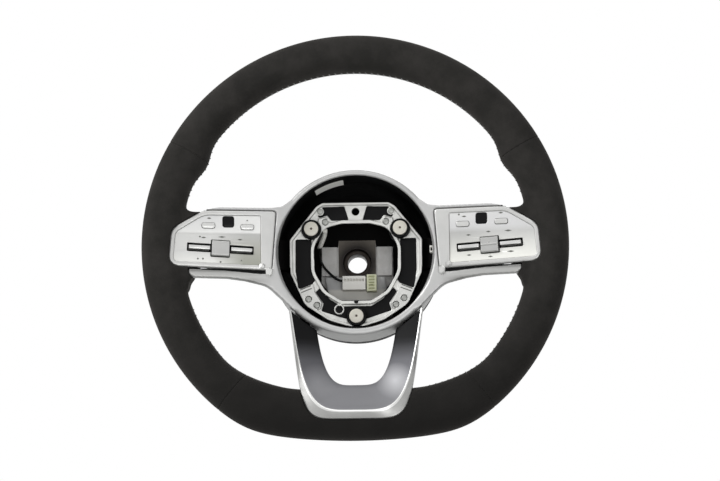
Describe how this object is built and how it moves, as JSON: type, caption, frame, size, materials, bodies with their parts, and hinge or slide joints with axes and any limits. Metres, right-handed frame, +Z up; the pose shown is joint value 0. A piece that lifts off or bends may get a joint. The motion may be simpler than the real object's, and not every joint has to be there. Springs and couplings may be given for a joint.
{
  "type": "car steering wheel",
  "caption": "Flat-bottomed suede car steering wheel without its airbag, with silver switch pods, a lower spoke and the open hub.",
  "frame": {"origin": "centre of the column bore, on the rear face of the hub boss", "axes": "+X to the driver's right, +Y along the column bore towards the car's front, away from the driver, +Z up at straight ahead"},
  "size_m": [0.37, 0.109, 0.3549],
  "materials": {
    "cast_magnesium": "bare die casting",
    "steel_boss": "turned steel",
    "rim_foam": "moulded polyurethane foam",
    "suede": "charcoal suede leather",
    "satin_silver": "satin silver paint on moulded plastic",
    "silver_keys": "satin silver paint",
    "black_gloss": "gloss black plastic",
    "black_plastic": "fine grained black plastic",
    "zinc_steel": "zinc plated sheet",
    "black_steel": "blackened steel",
    "grey_plastic": "moulded grey plastic",
    "white_plastic": "moulded white plastic",
    "green_plastic": "moulded pale green plastic",
    "cream_plastic": "moulded cream plastic"
  },
  "bodies": {
    "root": {"armature": "cast_magnesium", "hub_boss": "steel_boss", "rim_foam": "rim_foam", "leather_top": "suede", "leather_left": "suede", "leather_right": "suede", "leather_bottom": "suede", "hub_bezel": "satin_silver", "lower_trim": "satin_silver", "lower_cover": "black_plastic", "arm_cover_left": "black_plastic", "arm_cover_right": "black_plastic", "back_cover": "black_plastic", "carrier_frame": "black_plastic", "contact_plate": "zinc_steel", "plate_screws": "zinc_steel", "cover_screws": "black_steel", "control_module": "grey_plastic", "white_connector": "white_plastic", "yellow_connector": "green_plastic", "horn_lead": "white_plastic", "blank_strip": "white_plastic", "bezel_clip": "zinc_steel", "horn_cup_left": "black_plastic", "horn_cup_right": "black_plastic", "horn_cup_bottom": "black_plastic", "horn_spring_left": "zinc_steel", "horn_spring_right": "zinc_steel", "horn_spring_bottom": "zinc_steel", "pod_frame_left": "satin_silver", "pod_frame_right": "satin_silver", "pod_plate_left": "silver_keys", "pod_plate_right": "silver_keys", "pod_board_left": "green_plastic", "pod_board_right": "green_plastic", "pod_housing_left": "black_plastic", "pod_housing_right": "black_plastic"},
    "outer_blade_left": {"outer_blade_left": "silver_keys"},
    "inner_blade_left": {"inner_blade_left": "silver_keys"},
    "centre_rocker_left": {"centre_rocker_left": "silver_keys"},
    "outer_button_left": {"outer_button_left": "silver_keys"},
    "inner_button_left": {"inner_button_left": "silver_keys"},
    "touch_pad_left": {"touch_pad_left": "black_gloss"},
    "outer_blade_right": {"outer_blade_right": "silver_keys"},
    "inner_blade_right": {"inner_blade_right": "silver_keys"},
    "centre_rocker_right": {"centre_rocker_right": "silver_keys"},
    "outer_button_right": {"outer_button_right": "silver_keys"},
    "inner_button_right": {"inner_button_right": "silver_keys"},
    "touch_pad_right": {"touch_pad_right": "black_gloss"},
    "horn_cap_left": {"horn_cap_left": "cream_plastic"},
    "horn_cap_right": {"horn_cap_right": "cream_plastic"},
    "horn_cap_bottom": {"horn_cap_bottom": "cream_plastic"}
  },
  "joints": [
    {"name": "outer_blade_left", "type": "hinge", "parent": "root", "child": "outer_blade_left", "pos_m": [-0.11726, -0.08865, 0.0031], "axis": [-0.9836, -0.1734, 0.0488], "range_deg": [-8, 8], "stiffness_Nm_per_rad": 0.01},
    {"name": "inner_blade_left", "type": "hinge", "parent": "root", "child": "inner_blade_left", "pos_m": [-0.11726, -0.08865, 0.0031], "axis": [-0.9836, -0.1734, 0.0488], "range_deg": [-8, 8], "stiffness_Nm_per_rad": 0.01},
    {"name": "centre_rocker_left", "type": "hinge", "parent": "root", "child": "centre_rocker_left", "pos_m": [-0.11726, -0.08865, 0.0031], "axis": [-0.9836, -0.1734, 0.0488], "range_deg": [-6, 6], "stiffness_Nm_per_rad": 0.01},
    {"name": "outer_button_left", "type": "slide", "parent": "root", "child": "outer_button_left", "axis": [-0.1736, 0.9848, 0], "range_m": [0, 0.0008], "stiffness_N_per_m": 400},
    {"name": "inner_button_left", "type": "slide", "parent": "root", "child": "inner_button_left", "axis": [-0.1736, 0.9848, 0], "range_m": [0, 0.0008], "stiffness_N_per_m": 400},
    {"name": "touch_pad_left", "type": "slide", "parent": "root", "child": "touch_pad_left", "axis": [-0.1736, 0.9848, 0], "range_m": [0, 0.0008], "stiffness_N_per_m": 400},
    {"name": "outer_blade_right", "type": "hinge", "parent": "root", "child": "outer_blade_right", "pos_m": [0.11726, -0.08865, 0.0031], "axis": [0.9836, -0.1734, 0.0488], "range_deg": [-8, 8], "stiffness_Nm_per_rad": 0.01},
    {"name": "inner_blade_right", "type": "hinge", "parent": "root", "child": "inner_blade_right", "pos_m": [0.11726, -0.08865, 0.0031], "axis": [0.9836, -0.1734, 0.0488], "range_deg": [-8, 8], "stiffness_Nm_per_rad": 0.01},
    {"name": "centre_rocker_right", "type": "hinge", "parent": "root", "child": "centre_rocker_right", "pos_m": [0.11726, -0.08865, 0.0031], "axis": [0.9836, -0.1734, 0.0488], "range_deg": [-6, 6], "stiffness_Nm_per_rad": 0.01},
    {"name": "outer_button_right", "type": "slide", "parent": "root", "child": "outer_button_right", "axis": [0.1736, 0.9848, 0], "range_m": [0, 0.0008], "stiffness_N_per_m": 400},
    {"name": "inner_button_right", "type": "slide", "parent": "root", "child": "inner_button_right", "axis": [0.1736, 0.9848, 0], "range_m": [0, 0.0008], "stiffness_N_per_m": 400},
    {"name": "touch_pad_right", "type": "slide", "parent": "root", "child": "touch_pad_right", "axis": [0.1736, 0.9848, 0], "range_m": [0, 0.0008], "stiffness_N_per_m": 400},
    {"name": "horn_cap_left", "type": "slide", "parent": "root", "child": "horn_cap_left", "axis": [0, 1, 0], "range_m": [0, 0.0025], "stiffness_N_per_m": 600, "deforming": ["horn_spring_left"]},
    {"name": "horn_cap_right", "type": "slide", "parent": "root", "child": "horn_cap_right", "axis": [0, 1, 0], "range_m": [0, 0.0025], "stiffness_N_per_m": 600, "deforming": ["horn_spring_right"]},
    {"name": "horn_cap_bottom", "type": "slide", "parent": "root", "child": "horn_cap_bottom", "axis": [0, 1, 0], "range_m": [0, 0.0025], "stiffness_N_per_m": 600, "deforming": ["horn_spring_bottom"]}
  ]
}
